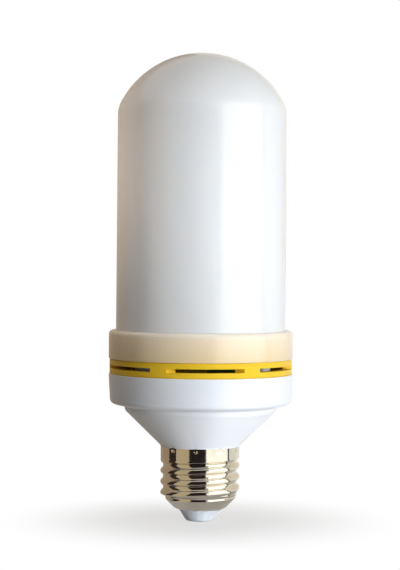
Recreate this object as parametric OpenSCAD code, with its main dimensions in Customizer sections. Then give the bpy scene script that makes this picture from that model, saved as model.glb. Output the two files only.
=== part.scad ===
// Flame effect LED bulb: a screw cap, a moulded housing, a slotted vent ring, a collar and a frosted
// diffuser, round a drum of LEDs and the boards that drive it.
// Z runs up the bulb's axis from the centre contact's face. The middle slot of the front is at -Y.

/* [Screw cap] */
// Height of the cap, from the centre contact to the housing's shoulder
cap_h = 25; // [24:0.5:28]
// Radius over the crests of the thread
thread_r = 13.15; // [13.05:0.01:13.25]
// Depth of the thread
thread_depth = 0.9; // [0.7:0.05:1]
// Pitch of the thread
thread_pitch = 3.629; // [3:0.001:4.4]
// Outer radius of the plain skirt above the thread
skirt_r = 13.1; // [13:0.02:13.2]
// Height of the plain skirt
skirt_h = 3.8; // [3.2:0.1:4.6]
// Thickness of the shell's sheet
shell_t = 0.3; // [0.25:0.01:0.36]
// Number of crimp dimples round the skirt
crimp_count = 10; // [6:1:12]
// Radius of the centre contact's head
contact_r = 4; // [3.4:0.1:4.1]

/* [Housing] */
// Height of the cone between the cap and the ledge
cone_h = 13.2; // [11:0.2:17]
// Height of the housing above the ledge
housing_h = 10.8; // [9:0.2:13]
// Width of the ledge between the cone and the side
ledge_w = 5.2; // [4.2:0.1:6.4]
// Wall of the housing
housing_wall = 1.6; // [1.3:0.1:2]
// Wall of the neck that the cap is crimped on
neck_wall = 2.5; // [2:0.1:3]

/* [Vent ring and collar] */
// Height of the coloured band
band_h = 5; // [4.1:0.1:6.2]
// Depth of the band below the housing's side
band_step = 0.3; // [0.2:0.05:0.5]
// Number of vent slots
slot_count = 6; // [4:1:6]
// Height of a vent slot
slot_h = 1.25; // [1:0.05:1.6]
// Angle that a slot opens on the outside
slot_sweep = 48.7; // [40:0.1:52]
// Angle by which a slot is narrower on the inside
slot_flare = 7.7; // [4:0.1:9]
// Height of the collar
collar_h = 9.4; // [7.8:0.1:11.4]
// Wall of the collar
collar_wall = 2.25; // [1.85:0.05:2.7]

/* [Diffuser] */
// Diameter of the diffuser at the collar
diffuser_d = 56.3; // [50:0.1:68]
// Height of the diffuser above the collar
diffuser_h = 91.6; // [76:0.2:110]
// Height of its dome
dome_h = 18.5; // [15:0.1:23]
// Radius of the blend between side and dome
dome_blend = 8; // [4:0.5:12]
// Wall of the diffuser
diffuser_wall = 1.3; // [1:0.1:1.6]
// Loss of radius from the collar up to the dome
diffuser_draft = 0.25; // [0:0.05:0.5]

/* [Flame drum] */
// Gap between the diffuser and the drum's tube
drum_gap = 9.05; // [8.4:0.05:11]
// Drop from the foot of the dome to the top of the drum
drum_drop = 5; // [2:0.5:12]
// Columns of LEDs round the drum
led_columns = 11; // [7:1:12]
// Rows of LEDs up the drum
led_rows = 9; // [6:1:10]
// Wall of the drum's tube
tube_wall = 1.2; // [1:0.1:1.5]
// Thickness of the plate under the drum
plate_t = 1.5; // [1.2:0.1:2]

/* [Driver] */
// Thickness of the driver board
board_t = 1.2; // [1:0.1:1.6]
// Depth of the grooves in the neck that hold the board
groove_depth = 0.7; // [0.5:0.1:0.9]
// Radius of the insulated wires
wire_r = 0.55; // [0.45:0.05:0.6]

/* [Hidden] */

// Smoothness of large and of small rounds
fine = 96;
small = 32;
// Gap of a sliding fit, of a soldered seat, the overrun of a cut, and the overlap of joined outlines
fit_gap = 0.1;
seat_gap = 0.05;
over = 1;
hair = 0.004;

// Levels up the axis
skirt_z = cap_h - skirt_h;
ledge_z = cap_h + cone_h;
band_z = ledge_z + housing_h;
collar_z = band_z + band_h;
plate_z = collar_z + 2;
diffuser_z = collar_z + collar_h;
top_z = diffuser_z + diffuser_h;
drum_z = plate_z + plate_t;
drum_top_z = top_z - dome_h - drum_drop;

// Radii of the body
diffuser_r = diffuser_d / 2;
dome_r = diffuser_r - diffuser_draft;
collar_in_r = diffuser_r + fit_gap;
body_r = collar_in_r + collar_wall;
cone_r = body_r - ledge_w;
band_r = body_r - band_step;
flange_step = 0.75;
flange_r = diffuser_r + flange_step;
flange_h = 1.2;
plate_gap = 0.15;
plate_r = diffuser_r - diffuser_wall - plate_gap;
ring_in_r = plate_r + 0.5;
ring_spigot_h = 3.5;
seat_w = 1.6;
seat_h = 1.1;

// Screw shell: a cone of sheet at the foot, the thread rolled down on to it, a plain skirt at the top
mouth_r = 7.8;
mouth_z = 4.2;
cone_low = [8.85, 4.75];
cone_high = [12.65, 8.65];
taper = (cone_high[0] - cone_low[0]) / (cone_high[1] - cone_low[1]);
taper_t = shell_t * sqrt(1 + taper * taper);
foot_top_z = 7.4;
thread_z0 = foot_top_z - 0.4;
thread_z1 = skirt_z + 0.45;
thread_phase = -0.035;
root_r = thread_r - thread_depth;
flank_r = (thread_depth * thread_depth + thread_pitch * thread_pitch / 4) / (4 * thread_depth);
thread_sides = 40;
thread_rows = ceil((thread_z1 - thread_z0) / thread_pitch * 9);
// The thread's two ends lie this far inside the sheet that they join
end_inset = 0.04;
crimp_z = cap_h - 0.95;
crimp_r = 1;
crimp_depth = 0.3;
crimp_reach = skirt_r + crimp_r - crimp_depth;
crimp_turn = -10;

// Neck of the housing, inside the shell
neck_r = skirt_r - shell_t - fit_gap;
neck_low_r = root_r - shell_t - 2 * fit_gap;
neck_z = 9.2;
bore_r = neck_r - neck_wall;
shoulder_r = skirt_r + 0.15;

// Cone and ledge of the housing, and their offsets on the inside
cone_foot = [shoulder_r, cap_h + 0.3];
cone_head = [cone_r - 0.3, ledge_z - 1.4];
cone_slope = (cone_head[1] - cone_foot[1]) / (cone_head[0] - cone_foot[0]);
cone_shift = housing_wall * sqrt(1 + cone_slope * cone_slope) / cone_slope;
side_foot = [body_r - 0.52, ledge_z + 1.13];
ledge_slope = (side_foot[1] - ledge_z) / (side_foot[0] - cone_r);
ledge_lift = housing_wall * sqrt(1 + ledge_slope * ledge_slope);

// Plate, its screws and the housing's bosses
boss_r = 2.6;
boss_circle_r = plate_r - 4.2;
boss_angles = [90, 210, 330];
pilot_r = 1.05;
screw_r = 1;
screw_l = 6;
screw_head_r = 2.1;
screw_head_h = 1.5;
cable_hole_r = 5;

// Drum of LEDs
tube_r = plate_r + plate_gap - drum_gap;
tube_in_r = tube_r - tube_wall;
foot_w = 1.2;
foot_h = 1.5;
flex_t = 0.25;
flex_r = tube_r + seat_gap + flex_t;
led_w = 2.8;
led_h = 3.5;
led_t = 0.7;
led_lens_r = 1.05;
led_margin = 7.5;
led_pitch = (drum_top_z - drum_z - foot_h - 2 * led_margin) / (led_rows - 1);
spigot_wall = 1.2;
spigot_h = 3;
window_w = 9;
window_z = drum_z + 4;
window_h = 6;

// Driver board: a stem in the neck's grooves and a wider head in the housing
stem_w = 2 * (bore_r + groove_depth - fit_gap);
head_w = 2 * (cone_r - housing_wall - 5.7);
stem_z = 10;
head_z = ledge_z - 1.2;
board_top_z = plate_z - 3;
face_y = board_t / 2 + seat_gap;
lead_r = 0.3;
lead_hole_r = 0.45;
lead_end = 1.2;

// Control board: stands in two posts on the plate
control_w = 14;
control_h = 22;
control_t = 1;
control_y = 7.5;
post_w = 2.6;
post_h = 6;

// Places of the parts on the driver board, each [x, z]
input_at = [0, 12];
fuse_at = [-4.6, 18];
bridge_at = [4.4, 19];
film_at = [-head_w / 2 + 6, head_z + 5.5];
output_at = [head_w / 2 - 4.5, head_z + 8];
chip_at = [head_w / 2 - 6, head_z + 4];
transformer_at = [-3.5, head_z + 8];
positive_at = [1, board_top_z - 2];
negative_at = [5, board_top_z - 2];
live_at = [-4.6, 12];
neutral_at = [4.4, 13];
wire_end_y = face_y + seat_gap;

// Sizes of those parts
input_r = 4;
input_l = 12;
output_r = 2.5;
output_l = 11;
can_lead_pitch = 2.5;
film_size = [7.2, 6.5, 3];
film_lead_pitch = 5;
fuse_r = 1.4;
fuse_l = 7;
fuse_lead_pitch = 10;
leg_w = 10.2;
core_depth = 4.75;
core_half_h = 5.5;
core_yoke = 1.3;
core_leg = 2.45;
rail_reach = 5.6;
core_y = -(face_y + rail_reach);
pin_pitch = 2.5;
bobbin_wall = 0.6;
bobbin_gap = 0.1;
bobbin_flange_t = 0.7;
bobbin_tube = [for (size = [core_leg, core_depth]) size + bobbin_gap + 2 * bobbin_wall];
bobbin_flange = [leg_w - 2 * core_yoke - 2 * bobbin_gap, core_depth + 5.05];
bobbin_h = 2 * (core_half_h - core_yoke - bobbin_gap);

// Outline helpers
function xy(p) = [p[0], p[1]];
function unit(v) = v / norm(v);
function turn(a, b, c) = (b[0] - a[0]) * (c[1] - b[1]) - (b[1] - a[1]) * (c[0] - b[0]);
function polar(r, a) = [r * cos(a), r * sin(a)];

// Start, end and centre of the arc at corner i, and which way the outline turns there
function corner(points, i) =
    let (
        n = len(points),
        a = xy(points[(i + n - 1) % n]),
        b = xy(points[i]),
        c = xy(points[(i + 1) % n]),
        to_a = unit(a - b),
        to_c = unit(c - b),
        half = acos(to_a * to_c) / 2,
        r = points[i][2]
    )
    [
        b + to_a * r / tan(half), b + to_c * r / tan(half),
        b + unit(to_a + to_c) * r / sin(half), turn(a, b, c)
    ];

// Part of a circle of radius r that lies beyond the chord of corner c, and a hair on its near side
module segment(c, r) {
    along = unit(c[1] - c[0]) * r;
    outward = unit((c[0] + c[1]) / 2 - c[2]);
    intersection() {
        translate(c[2])
            circle(r, $fn = fine);
        polygon([
            for (end = [c[0] - along, c[1] + along]) end - outward * hair,
            for (end = [c[1] + along, c[0] - along]) end + outward * r
        ]);
    }
}

// Outline through [x, y, radius] points, run anticlockwise, with a true arc at each rounded corner
module rounded(points) {
    last = len(points) - 1;
    corners = [for (i = [0 : last]) points[i][2] > 0 ? corner(points, i) : [xy(points[i])]];
    difference() {
        union() {
            polygon([for (c = corners) each len(c) > 1 ? [c[0], c[1]] : c]);
            for (i = [0 : last])
                if (len(corners[i]) > 1 && corners[i][3] > 0)
                    segment(corners[i], points[i][2]);
        }
        for (i = [0 : last])
            if (len(corners[i]) > 1 && corners[i][3] < 0)
                segment(corners[i], points[i][2]);
    }
}

module turned(points) {
    rotate_extrude($fn = fine)
        rounded(points);
}

module pipe(r_out, r_in, z0, z1) {
    turned([[r_in, z0, 0], [r_out, z0, 0], [r_out, z1, 0], [r_in, z1, 0]]);
}

// Box centred on x and y, standing on z0
module post(size, z0 = 0) {
    translate([-size[0] / 2, -size[1] / 2, z0])
        cube(size);
}

// Turns a shape that stands on z = 0 to stand on the driver board's back (side 1) or front (side -1)
module on_board(at, side, lift = seat_gap) {
    translate([at[0], side * (board_t / 2 + lift), at[1]])
        rotate([side > 0 ? -90 : 90, 0, 0])
            children();
}

// Smooth route through hand-set points, and the tube that follows it
function blend(a, b, c, d, t) =
    b + ((c - a) * t + (2 * a - 5 * b + 4 * c - d) * t * t + (3 * b - a - 3 * c + d) * t * t * t) / 2;

function route(points, steps) =
    let (last = len(points) - 1)
    concat(
        [for (i = [0 : last - 1], s = [0 : steps - 1])
            blend(points[max(i - 1, 0)], points[i], points[i + 1], points[min(i + 2, last)], s / steps)],
        [points[last]]
    );

function heading(path, i) = unit(path[min(i + 1, len(path) - 1)] - path[max(i - 1, 0)]);
function square_to(v, t) = unit(v - t * (v * t));

module wire(points, r, steps = 4, sides = 8) {
    path = route(points, steps);
    last = len(path) - 1;
    across = [
        for (i = 0, v = square_to([0.31, 0.87, 0.22], heading(path, 0)); i <= last;
            i = i + 1, v = square_to(v, heading(path, min(i, last)))) v
    ];
    rings = [
        for (i = [0 : last], s = [0 : sides - 1])
            let (a = 360 * s / sides, beside = cross(heading(path, i), across[i]))
            path[i] + r * (cos(a) * across[i] + sin(a) * beside)
    ];
    sleeve = [
        for (i = [0 : last - 1], s = [0 : sides - 1])
            let (a = i * sides + s, b = i * sides + (s + 1) % sides)
            [a, a + sides, b + sides, b]
    ];
    ends = [[for (s = [0 : sides - 1]) s], [for (s = [sides - 1 : -1 : 0]) last * sides + s]];
    polyhedron(rings, concat(sleeve, ends));
}

// Radius of the thread's outside at angle a and height z: two arcs that meet on the flank, run out
// on the cone below and into the skirt above
function ramp(x) = min(1, max(0, x));
function cone_at(z) = cone_low[0] + (z - cone_low[1]) * taper;
function run_in(z) = ramp((z - foot_top_z) / 0.9);
function run_out(z) = ramp((thread_z1 - 0.2 - z) / 1.6);

function rolled(a, z) =
    let (
        turns = (z - skirt_z) / thread_pitch - (a + 90) / 360 + thread_phase,
        off = abs(turns - round(turns)) * thread_pitch
    )
    off < thread_pitch / 4
        ? thread_r - flank_r + sqrt(flank_r * flank_r - off * off)
        : root_r + flank_r - sqrt(flank_r * flank_r - pow(thread_pitch / 2 - off, 2));

function thread_at(a, z) =
    let (
        cut = (thread_r - rolled(a, z)) * run_in(z),
        low = min(thread_r, cone_at(z) - end_inset) - cut,
        high = skirt_r - end_inset
    )
    high + (low - high) * run_out(z);

// Thickness of the sheet, measured level: more on the cone, less where an end lies in other sheet
function thread_wall(z) =
    (cone_at(z) < thread_r ? taper_t : shell_t) - 3 * end_inset * (1 - min(run_in(z), run_out(z)));

function thread_ring(z, inset) =
    [for (i = [0 : thread_sides - 1]) let (a = 360 * i / thread_sides, r = thread_at(a, z) - inset)
        [r * cos(a), r * sin(a), z]];

module rolled_thread() {
    levels = [for (j = [0 : thread_rows]) thread_z0 + (thread_z1 - thread_z0) * j / thread_rows];
    points = concat(
        [for (z = levels) each thread_ring(z, 0)],
        [for (z = levels) each thread_ring(z, thread_wall(z))]
    );
    inside = (thread_rows + 1) * thread_sides;
    top = thread_rows * thread_sides;
    up = thread_sides;
    walls = [
        for (j = [0 : thread_rows - 1], i = [0 : thread_sides - 1])
            let (a = j * up + i, b = j * up + (i + 1) % up)
            each [
                [a, b + up, b], [a, a + up, b + up],
                [inside + a, inside + b, inside + b + up], [inside + a, inside + b + up, inside + a + up]
            ]
    ];
    rims = [
        for (i = [0 : thread_sides - 1])
            let (k = (i + 1) % thread_sides)
            each [
                [i, k, inside + k], [i, inside + k, inside + i],
                [top + i, top + inside + k, top + k], [top + i, top + inside + i, top + inside + k]
            ]
    ];
    polyhedron(points, concat(walls, rims));
}

module crimps(r) {
    for (i = [0 : crimp_count - 1])
        rotate(crimp_turn - 90 + 360 * i / crimp_count)
            translate([crimp_reach, 0, crimp_z])
                sphere(r, $fn = small);
}

// Screw cap
module screw_shell() {
    color("#c9c3b4")
        difference() {
            union() {
                rolled_thread();
                pipe(skirt_r, skirt_r - shell_t, skirt_z, cap_h);
                intersection() {
                    crimps(crimp_r + shell_t);
                    cylinder(r = skirt_r - shell_t / 2, h = cap_h, $fn = fine);
                }
                turned([
                    [mouth_r, mouth_z, 0], concat(cone_low, 0), [cone_at(foot_top_z), foot_top_z, 0],
                    [cone_at(foot_top_z) - taper_t, foot_top_z, 0],
                    [cone_low[0] - 0.2, cone_low[1] + 0.2, 0], [mouth_r, mouth_z + shell_t, 0]
                ]);
            }
            crimps(crimp_r);
        }
}

module insulator() {
    plug_r = 10.6;
    color("#e4ebf2")
        turned([
            [1.3, 0.65, 0], [contact_r + fit_gap, 0.65, 0], [contact_r + fit_gap, 0.3, 0],
            [4.5, 0.3, 0.15], [5, 0.9, 0.4], [6.3, 3, 1], [7.2, 4.1, 0.3], [7.55, 4.7, 0], [8.6, 5.13, 0],
            [plug_r, 5.13 + (plug_r - 8.6) / taper, 0], [plug_r, neck_z - fit_gap, 0],
            [6.6, neck_z - fit_gap, 0.3], [5.6, 5.6, 0.5], [1.3, 5.6, 0]
        ]);
}

module centre_contact() {
    color("#b9bcc0")
        difference() {
            turned([
                [0, 0, 0], [contact_r - 0.9, 0, 0.5], [contact_r, 0.4, 0.15], [contact_r, 0.6, 0],
                [1.2, 0.6, 0], [1.2, 8.2, 0.15], [0, 8.2, 0]
            ]);
            translate([0, 0, 5.8])
                cylinder(r = wire_r + fit_gap, h = 4, $fn = small);
        }
}

// Height of the housing's inner faces at radius r
function cone_in(r) = cone_foot[1] + cone_slope * (r + cone_shift - cone_foot[0]);
function ledge_in(r) = ledge_z + ledge_slope * (r - cone_r) + ledge_lift;

module housing_outside() {
    turned([
        [0, neck_z, 0], [neck_low_r, neck_z, 0.4], [neck_low_r, skirt_z + 0.2, 0],
        [neck_r, skirt_z + 0.2 + neck_r - neck_low_r, 0], [neck_r, cap_h, 0], [shoulder_r, cap_h, 0.1],
        concat(cone_foot, 0), concat(cone_head, 2.5), [cone_r, ledge_z, 0.3], concat(side_foot, 1.7),
        [body_r, band_z, 0.2], [0, band_z, 0]
    ]);
}

module housing_inside() {
    step_r = cone_head[0] - housing_wall;
    side_r = side_foot[0] - housing_wall;
    turned([
        [0, neck_z - over, 0], [bore_r, neck_z - over, 0], [bore_r, cone_in(bore_r), 0.5],
        [step_r, cone_in(step_r), 0], [cone_r - housing_wall, ledge_in(cone_r - housing_wall), 0],
        [side_r, ledge_in(side_r), 0.8], [body_r - housing_wall, band_z - ring_spigot_h - fit_gap, 0],
        [body_r - housing_wall, plate_z + over, 0], [0, plate_z + over, 0]
    ]);
}

module at_bosses(z) {
    for (a = boss_angles)
        rotate(a)
            translate([boss_circle_r, 0, z])
                children();
}

module housing() {
    color("#eef1f5")
        difference() {
            union() {
                housing_outside();
                translate([0, 0, ledge_z + over])
                    cylinder(r = boss_circle_r + boss_r + over, h = plate_z - ledge_z - over, $fn = fine);
            }
            difference() {
                housing_inside();
                at_bosses(cap_h)
                    cylinder(r = boss_r, h = plate_z - cap_h + 2 * over, $fn = small);
            }
            at_bosses(plate_z - screw_l - 0.5)
                cylinder(r = pilot_r, h = screw_l + over, $fn = small);
            post([stem_w + 2 * fit_gap, board_t + fit_gap, cap_h + over - stem_z], stem_z);
            crimps(crimp_r + shell_t + fit_gap);
            rotate(90)
                translate([bore_r / 2 + 6, 0, neck_z])
                    post([bore_r, 1.6, 4], -2);
        }
}

// Vent ring: a band with slots, between a spigot in the housing and a lip under the diffuser
module vent_slot() {
    inner = polar(ring_in_r, 90 - (slot_sweep - slot_flare) / 2);
    outer = polar(band_r, 90 - slot_sweep / 2);
    near = inner - (outer - inner) / 2;
    far = outer + (outer - inner) * 1.6;
    translate([0, 0, band_z + (band_h - slot_h) / 2])
        linear_extrude(slot_h)
            polygon([near, far, [0, body_r + 4], [-far[0], far[1]], [-near[0], near[1]]]);
}

module vent_ring() {
    spigot_r = body_r - housing_wall - fit_gap;
    seat_r = ring_in_r - seat_w;
    bevel = 0.3;
    color("#e8c33a")
        difference() {
            turned([
                [ring_in_r, band_z - ring_spigot_h, 0], [spigot_r, band_z - ring_spigot_h, 0.4],
                [spigot_r, band_z, 0], [band_r - bevel, band_z, 0], [band_r, band_z + bevel, 0],
                [band_r, collar_z - bevel, 0], [band_r - bevel, collar_z, 0], [flange_r, collar_z, 0],
                [flange_r, plate_z, 0.2], [seat_r, plate_z, 0.2], [seat_r, plate_z - seat_h, 0],
                [ring_in_r, plate_z - seat_h - 1.3, 0]
            ]);
            for (i = [0 : slot_count - 1])
                rotate(180 + 360 * i / slot_count)
                    vent_slot();
        }
}

module collar_ring() {
    counterbore_r = flange_r + fit_gap;
    counterbore_z = plate_z + flange_h + fit_gap;
    color("#ecdcbc")
        turned([
            [counterbore_r, collar_z, 0.2], [body_r, collar_z, 0.3],
            [body_r, diffuser_z, min(1.5, collar_wall - 0.5)], [collar_in_r, diffuser_z, 0.3],
            [collar_in_r, counterbore_z, 0], [counterbore_r, counterbore_z, 0]
        ]);
}

// Half outline of the diffuser, moved inwards by inset: a drafted side, a blend and the dome's arc
module diffuser_half(inset, z0) {
    dome_arc = (dome_r * dome_r + dome_h * dome_h) / (2 * dome_h);
    centre_z = top_z - dome_arc;
    blend_x = dome_r - dome_blend;
    blend_z = centre_z + sqrt(pow(dome_arc - dome_blend, 2) - blend_x * blend_x);
    big = dome_arc - inset;
    tip = [0, centre_z] + unit([blend_x, blend_z - centre_z]) * big;
    side = dome_r - inset;
    foot = diffuser_r - inset;
    polygon([[0, z0], [foot, z0], [foot, diffuser_z], [side, blend_z], tip, [0, tip[1]]]);
    intersection() {
        translate([blend_x, blend_z])
            circle(dome_blend - inset, $fn = fine);
        polygon([[side, blend_z], [side + inset + over, blend_z], [side + inset + over, tip[1]], tip]);
    }
    intersection() {
        translate([0, centre_z])
            circle(big, $fn = fine);
        translate([0, tip[1]])
            square([dome_r, dome_h]);
    }
}

module diffuser() {
    color("#f1f0ee")
        rotate_extrude($fn = fine)
            difference() {
                union() {
                    diffuser_half(0, plate_z);
                    translate([diffuser_r - over, plate_z])
                        square([flange_r - diffuser_r + over, flange_h]);
                }
                diffuser_half(diffuser_wall, plate_z - over);
            }
}

// Drum: a plate screwed to the bosses, a tube on it, the rolled board with its LEDs and a cap
module spigot(z) {
    pipe(tube_in_r - fit_gap, tube_in_r - fit_gap - spigot_wall, z, z + spigot_h);
}

module core_plate() {
    color("#e9e9e4")
        difference() {
            union() {
                turned([
                    [cable_hole_r, plate_z, 0.3], [plate_r, plate_z, 0.3],
                    [plate_r, drum_z, 0.3], [cable_hole_r, drum_z, 0.3]
                ]);
                spigot(drum_z - 0.2);
                for (side = [-1, 1])
                    translate([side * (control_w / 2 + 0.3), control_y, drum_z - 0.2])
                        post([post_w, 3.2, post_h]);
            }
            at_bosses(plate_z - over)
                cylinder(r = screw_r + 0.2, h = plate_t + 2 * over, $fn = small);
            translate([0, control_y, drum_z])
                post([control_w + 0.1, control_t + fit_gap, post_h + over]);
        }
}

module plate_screws() {
    color("#8d9095")
        at_bosses(drum_z)
            difference() {
                turned([
                    [0, -screw_l, 0], [0.3, -screw_l, 0], [screw_r, 1 - screw_l, 0],
                    [screw_r, seat_gap, 0], [screw_head_r, seat_gap, 0],
                    [screw_head_r, screw_head_h, 0.7], [0, screw_head_h, 0]
                ]);
                for (a = [0, 90])
                    rotate(a)
                        post([2.2, 0.5, 1], screw_head_h - 0.8);
            }
}

module core_tube() {
    color("#f2f2ee")
        difference() {
            turned([
                [tube_in_r, drum_z, 0], [tube_r + foot_w, drum_z, 0],
                [tube_r + foot_w, drum_z + foot_h, 0.4], [tube_r, drum_z + foot_h, 0],
                [tube_r, drum_top_z, 0], [tube_in_r, drum_top_z, 0]
            ]);
            translate([0, tube_r, 0])
                post([window_w, 6, window_h], window_z);
        }
}

module flame_board() {
    color("#f5f4ef")
        difference() {
            pipe(flex_r, tube_r + seat_gap, drum_z + foot_h, drum_top_z);
            rotate(90 + 180 / led_columns)
                translate([tube_r, 0, 0])
                    post([4, 0.8, top_z]);
        }
}

module led() {
    difference() {
        translate([0, -led_w / 2, -led_h / 2])
            cube([led_t, led_w, led_h]);
        translate([led_t - 0.12, 0, 0])
            rotate([0, 90, 0])
                cylinder(r = led_lens_r, h = 1, $fn = small);
    }
}

module flame_leds() {
    color("#f2d44a")
        for (i = [0 : led_columns - 1], j = [0 : led_rows - 1])
            rotate(90 + 360 * i / led_columns)
                translate([flex_r + seat_gap, 0, drum_z + foot_h + led_margin + led_pitch * j])
                    led();
}

module core_cap() {
    color("#f2f2ee") {
        turned([
            [4, drum_top_z, 0.3], [flex_r + 0.5, drum_top_z, 0.3], [flex_r + 0.5, drum_top_z + 1.6, 0.6],
            [4, drum_top_z + 1.6, 0.3]
        ]);
        spigot(drum_top_z - spigot_h + 0.2);
    }
}

// Leads that run through the driver board, each [x, z]
function pair(at, pitch) = [[at[0] - pitch / 2, at[1]], [at[0] + pitch / 2, at[1]]];
function upright_pair(at, pitch) = [[at[0], at[1] - pitch / 2], [at[0], at[1] + pitch / 2]];
input_leads = pair([input_at[0], input_at[1] + input_l + 2.6], can_lead_pitch + 1);
output_leads = pair(output_at, can_lead_pitch);
film_leads = pair(film_at, film_lead_pitch);
fuse_leads = upright_pair(fuse_at, fuse_lead_pitch);
pins = [
    for (side = [-1, 1], i = [-1.5 : 1 : 1.5])
        transformer_at + [pin_pitch * i, side * (core_half_h - 0.8)]
];

module leads(places, side, reach) {
    for (p = places)
        on_board(p, side, -board_t - lead_end)
            cylinder(r = lead_r, h = board_t + lead_end + reach, $fn = small);
}

module driver_board() {
    color("#2f7d4f")
        difference() {
            union() {
                post([stem_w, board_t, head_z - stem_z + over], stem_z);
                post([head_w, board_t, board_top_z - head_z], head_z);
            }
            for (p = concat(input_leads, output_leads, film_leads, fuse_leads, pins))
                translate([p[0], 0, p[1]])
                    rotate([90, 0, 0])
                        cylinder(r = lead_hole_r, h = board_t + 2 * over, center = true, $fn = small);
        }
}

// Electrolytic can standing on z = 0, with its rolled groove, rubber bung and vented end
module can(r, l) {
    difference() {
        turned([
            [0, 0, 0], [r * 0.7, 0, 0], [r * 0.7, 0.3, 0], [r - 0.3, 0.3, 0], [r, 0.6, 0],
            [r, 1.4, 0.2], [r - 0.35, 1.8, 0.2], [r, 2.2, 0.2], [r, l, 0.4], [0, l, 0]
        ]);
        for (a = [0, 90])
            rotate(a)
                post([r * 1.5, 0.25, 1], l - 0.15);
    }
}

module input_capacitor() {
    y = -(face_y + input_r + 0.1);
    color("#3b4150") {
        translate([input_at[0], y, input_at[1] + input_l])
            mirror([0, 0, 1])
                can(input_r, input_l);
        for (p = input_leads) {
            translate([p[0], y, input_at[1] + input_l - 0.5])
                cylinder(r = lead_r + 0.03, h = 3.1 + lead_r, $fn = small);
            on_board(p, -1, -board_t - lead_end)
                cylinder(r = lead_r, h = lead_end + board_t / 2 - y, $fn = small);
        }
    }
}

module output_capacitor() {
    color("#3b4150") {
        on_board(output_at, 1)
            can(output_r, output_l);
        leads(output_leads, 1, 1);
    }
}

module film_capacitor() {
    color("#b5452f") {
        on_board(film_at, 1)
            linear_extrude(film_size[1])
                rounded([
                    for (p = [[-1, -1], [1, -1], [1, 1], [-1, 1]])
                        [p[0] * film_size[0] / 2, p[1] * film_size[2] / 2, 0.6]
                ]);
        leads(film_leads, 1, 1);
    }
}

module fuse_resistor() {
    y = face_y + fuse_r + 0.1;
    color("#8fb3a4") {
        translate([fuse_at[0], y, fuse_at[1]]) {
            turned([
                [0, -fuse_l / 2, 0], [fuse_r, -fuse_l / 2, 0.5], [fuse_r, 1.6 - fuse_l / 2, 0.2],
                [fuse_r - 0.15, 2 - fuse_l / 2, 0.2], [fuse_r - 0.15, fuse_l / 2 - 2, 0.2],
                [fuse_r, fuse_l / 2 - 1.6, 0.2], [fuse_r, fuse_l / 2, 0.5], [0, fuse_l / 2, 0]
            ]);
            cylinder(r = lead_r + 0.03, h = fuse_lead_pitch + 2 * lead_r, center = true, $fn = small);
        }
        for (p = fuse_leads)
            on_board(p, 1, -board_t - lead_end)
                cylinder(r = lead_r, h = lead_end + board_t / 2 + y, $fn = small);
    }
}

// Flat package standing on z = 0, with gull-wing leads along its two long sides
module package(size, count, pitch, lead_w) {
    translate([0, 0, 0.1])
        post(size);
    for (i = [0 : count - 1], side = [-1, 1])
        translate([(i - (count - 1) / 2) * pitch, side * size[1] / 2, 0]) {
            translate([0, side * 0.3, 0])
                post([lead_w, 0.8, 0.2], size[2] / 2);
            translate([0, side * 0.6, 0])
                post([lead_w, 0.2, size[2] / 2 + 0.1]);
            translate([0, side * 0.85, 0])
                post([lead_w, 0.7, 0.2]);
        }
}

module bridge_rectifier() {
    color("#26272b")
        on_board(bridge_at, 1)
            package([4.7, 3.9, 2.3], 2, 2.5, 0.7);
}

module driver_chip() {
    color("#26272b")
        on_board(chip_at, -1)
            package([4.9, 3.9, 1.4], 4, 1.27, 0.4);
}

// Transformer: two ferrite halves round a wound bobbin, whose rails stand on the board
module at_transformer() {
    translate([transformer_at[0], core_y, transformer_at[1]])
        children();
}

module ferrite_half() {
    window_x = (leg_w - 2 * core_yoke - core_leg) / 2;
    difference() {
        post([leg_w, core_depth, core_half_h - 0.02], 0.02);
        for (side = [-1, 1])
            translate([side * (core_leg + window_x) / 2, 0, 0])
                post([window_x, core_depth + over, core_half_h - core_yoke], 0);
    }
}

module transformer_core() {
    color("#4a4a4f")
        at_transformer() {
            ferrite_half();
            mirror([0, 0, 1])
                ferrite_half();
        }
}

module transformer_bobbin() {
    rail_lap = 0.2;
    color("#22211f")
        at_transformer()
            difference() {
                union() {
                    post(concat(bobbin_tube, bobbin_h), -bobbin_h / 2);
                    for (side = [-1, 1])
                        translate([0, 0, side * (bobbin_h - bobbin_flange_t) / 2]) {
                            post(concat(bobbin_flange, bobbin_flange_t), -bobbin_flange_t / 2);
                            translate([0, (bobbin_flange[1] / 2 - rail_lap + rail_reach) / 2, side * 0.6])
                                post([leg_w, rail_reach + rail_lap - bobbin_flange[1] / 2, 2], -1);
                        }
                }
                post(
                    [core_leg + bobbin_gap, core_depth + bobbin_gap, bobbin_h + 2 * over],
                    -bobbin_h / 2 - over
                );
            }
    color("#22211f")
        leads(pins, -1, 0.5);
}

module transformer_winding() {
    outer = [bobbin_flange[0] - 0.4, bobbin_flange[1] - 0.5];
    wound_h = bobbin_h - 2 * (bobbin_flange_t + bobbin_gap);
    color("#e2b53c")
        at_transformer()
            translate([0, 0, -wound_h / 2])
                linear_extrude(wound_h)
                    difference() {
                        rounded([
                            for (p = [[-1, -1], [1, -1], [1, 1], [-1, 1]])
                                [p[0] * outer[0] / 2, p[1] * outer[1] / 2, 1.4]
                        ]);
                        square([for (size = bobbin_tube) size + bobbin_gap], center = true);
                    }
}

module control_board() {
    color("#2f7d4f")
        translate([0, control_y, drum_z + seat_gap])
            post([control_w, control_t, control_h]);
}

module control_chip() {
    color("#26272b")
        translate([0, control_y - control_t / 2 - seat_gap, drum_z + 15])
            rotate([90, 90, 0])
                package([9.9, 3.9, 1.4], 8, 1.27, 0.4);
}

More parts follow.
